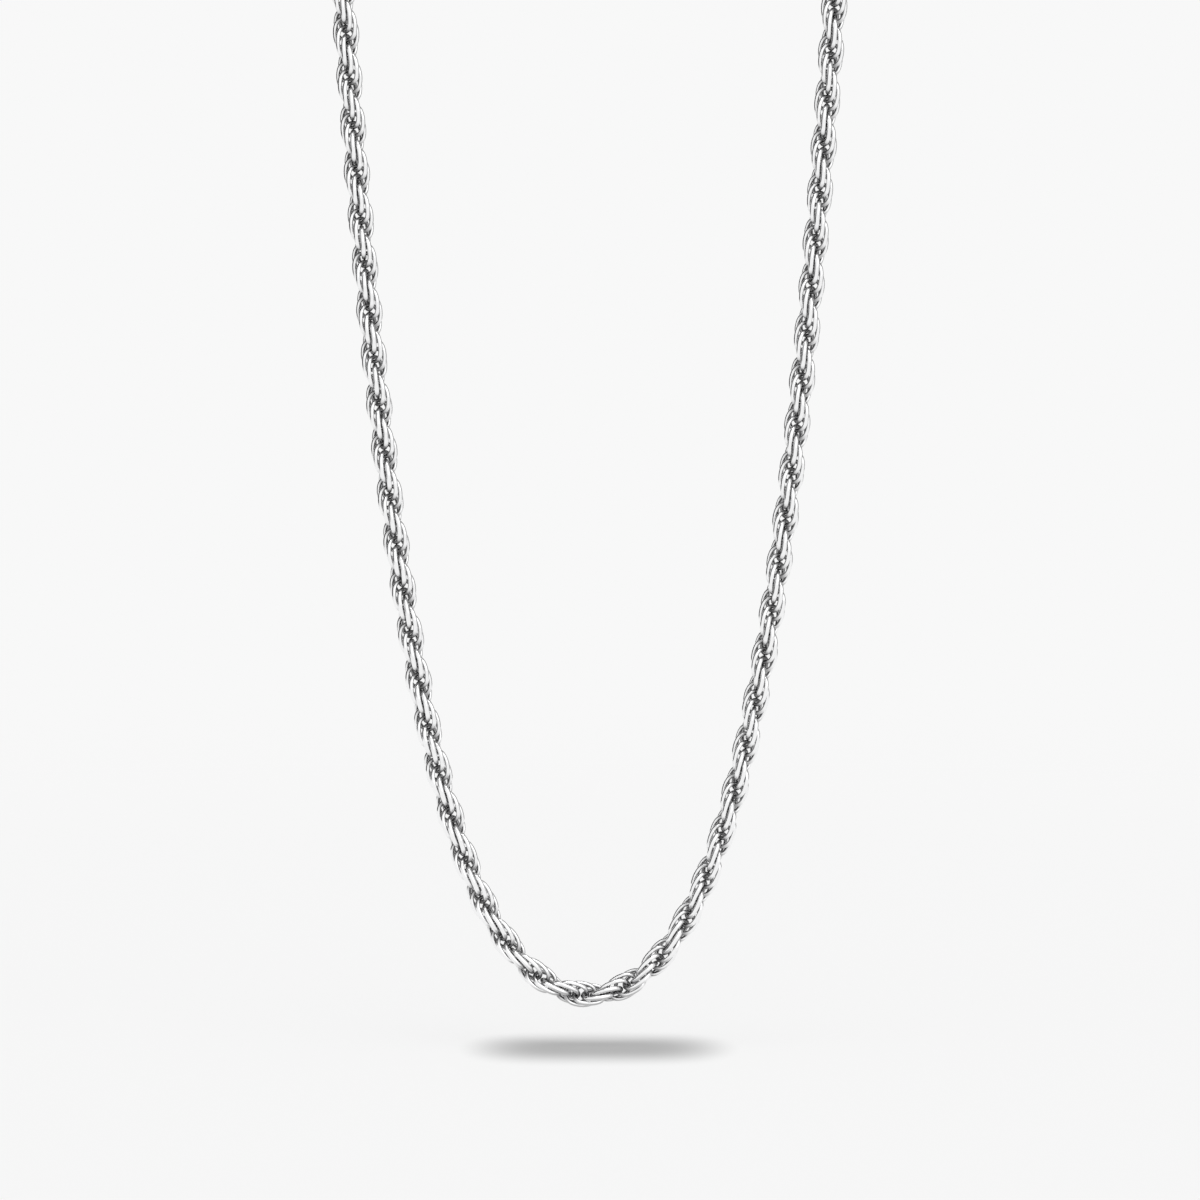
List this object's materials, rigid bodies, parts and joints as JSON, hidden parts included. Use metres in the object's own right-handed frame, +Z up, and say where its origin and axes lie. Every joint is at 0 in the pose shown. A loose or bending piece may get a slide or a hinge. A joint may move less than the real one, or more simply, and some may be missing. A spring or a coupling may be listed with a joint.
{
  "type": "chain necklace",
  "caption": "Polished rope chain necklace of interlinked oval links with end caps, jump rings and a sprung lobster clasp, hanging as a closed loop",
  "frame": {"origin": "centre of the round form that the necklace hangs from, at the middle of the arc of its neck part", "axes": "+Z up along the hanging loop, X across the loop, -Y the front"},
  "size_m": [0.0634, 0.0046, 0.2033],
  "materials": {
    "polished_silver": "mirror-polished silver wire",
    "finding_silver": "polished cast silver"
  },
  "bodies": {
    "neck": {"neck_rope_left_1": "polished_silver", "neck_rope_left_2": "polished_silver", "neck_rope_left_3": "polished_silver", "neck_rope_right_1": "polished_silver", "neck_rope_right_2": "polished_silver", "neck_rope_right_3": "polished_silver", "end_cap_left": "finding_silver", "end_cap_right": "finding_silver"},
    "section_11": {"rope_left_11": "polished_silver", "rope_right_11": "polished_silver"},
    "section_10": {"rope_left_10": "polished_silver", "rope_right_10": "polished_silver"},
    "section_9": {"rope_left_9": "polished_silver", "rope_right_9": "polished_silver"},
    "section_8": {"rope_left_8": "polished_silver", "rope_right_8": "polished_silver"},
    "section_7": {"rope_left_7": "polished_silver", "rope_right_7": "polished_silver"},
    "section_6": {"rope_left_6": "polished_silver", "rope_right_6": "polished_silver"},
    "section_5": {"rope_left_5": "polished_silver", "rope_right_5": "polished_silver"},
    "section_4": {"rope_left_4": "polished_silver", "rope_right_4": "polished_silver"},
    "section_3": {"rope_left_3": "polished_silver", "rope_right_3": "polished_silver"},
    "section_2": {"rope_left_2": "polished_silver", "rope_right_2": "polished_silver"},
    "section_1": {"rope_left_1": "polished_silver", "rope_right_1": "polished_silver"},
    "bottom": {"rope_bottom_left": "polished_silver", "rope_bottom_middle": "polished_silver", "rope_bottom_right": "polished_silver"},
    "clasp": {"clasp_body": "finding_silver", "clasp_rivet": "finding_silver", "clasp_spring": "finding_silver"},
    "gate": {"clasp_gate": "finding_silver"},
    "clasp_ring": {"clasp_ring": "finding_silver"},
    "catch_ring": {"catch_ring": "finding_silver"}
  },
  "joints": [
    {"name": "bend_11", "type": "hinge", "parent": "neck", "child": "section_11", "pos_m": [0, 0, -0.00079], "axis": [1, 0, 0], "range_deg": [-8, 8]},
    {"name": "bend_10", "type": "hinge", "parent": "section_11", "child": "section_10", "pos_m": [0, 0, -0.01426], "axis": [1, 0, 0], "range_deg": [-8, 8]},
    {"name": "bend_9", "type": "hinge", "parent": "section_10", "child": "section_9", "pos_m": [0, 0, -0.02772], "axis": [1, 0, 0], "range_deg": [-8, 8]},
    {"name": "bend_8", "type": "hinge", "parent": "section_9", "child": "section_8", "pos_m": [0, 0, -0.04117], "axis": [1, 0, 0], "range_deg": [-8, 8]},
    {"name": "bend_7", "type": "hinge", "parent": "section_8", "child": "section_7", "pos_m": [0, 0, -0.05462], "axis": [1, 0, 0], "range_deg": [-8, 8]},
    {"name": "bend_6", "type": "hinge", "parent": "section_7", "child": "section_6", "pos_m": [0, 0, -0.06807], "axis": [1, 0, 0], "range_deg": [-8, 8]},
    {"name": "bend_5", "type": "hinge", "parent": "section_6", "child": "section_5", "pos_m": [0, 0, -0.08246], "axis": [1, 0, 0], "range_deg": [-8, 8]},
    {"name": "bend_4", "type": "hinge", "parent": "section_5", "child": "section_4", "pos_m": [0, 0, -0.09589], "axis": [1, 0, 0], "range_deg": [-8, 8]},
    {"name": "bend_3", "type": "hinge", "parent": "section_4", "child": "section_3", "pos_m": [0, 0, -0.10929], "axis": [1, 0, 0], "range_deg": [-8, 8]},
    {"name": "bend_2", "type": "hinge", "parent": "section_3", "child": "section_2", "pos_m": [0, 0, -0.12265], "axis": [1, 0, 0], "range_deg": [-8, 8]},
    {"name": "bend_1", "type": "hinge", "parent": "section_2", "child": "section_1", "pos_m": [0, 0, -0.13594], "axis": [1, 0, 0], "range_deg": [-8, 8]},
    {"name": "bend_bottom", "type": "hinge", "parent": "section_1", "child": "bottom", "pos_m": [0, 0, -0.14905], "axis": [1, 0, 0], "range_deg": [-8, 8]},
    {"name": "clasp_swing", "type": "hinge", "parent": "neck", "child": "clasp", "pos_m": [0, 0, 0.02928], "axis": [1, 0, 0], "range_deg": [-25, 25]},
    {"name": "clasp_ring_spin", "type": "hinge", "parent": "clasp", "child": "clasp_ring", "pos_m": [-0.00585, 0, 0.02928], "axis": [0, 0, 1], "continuous": true},
    {"name": "catch_ring_spin", "type": "hinge", "parent": "clasp", "child": "catch_ring", "pos_m": [0.00585, 0, 0.02928], "axis": [0, 0, 1], "continuous": true},
    {"name": "gate_open", "type": "hinge", "parent": "clasp", "child": "gate", "pos_m": [0.00022, 0, 0.03003], "axis": [0, 1, 0], "range_deg": [0, 20], "stiffness_Nm_per_rad": 0.0005, "springref_deg": -11.46}
  ]
}
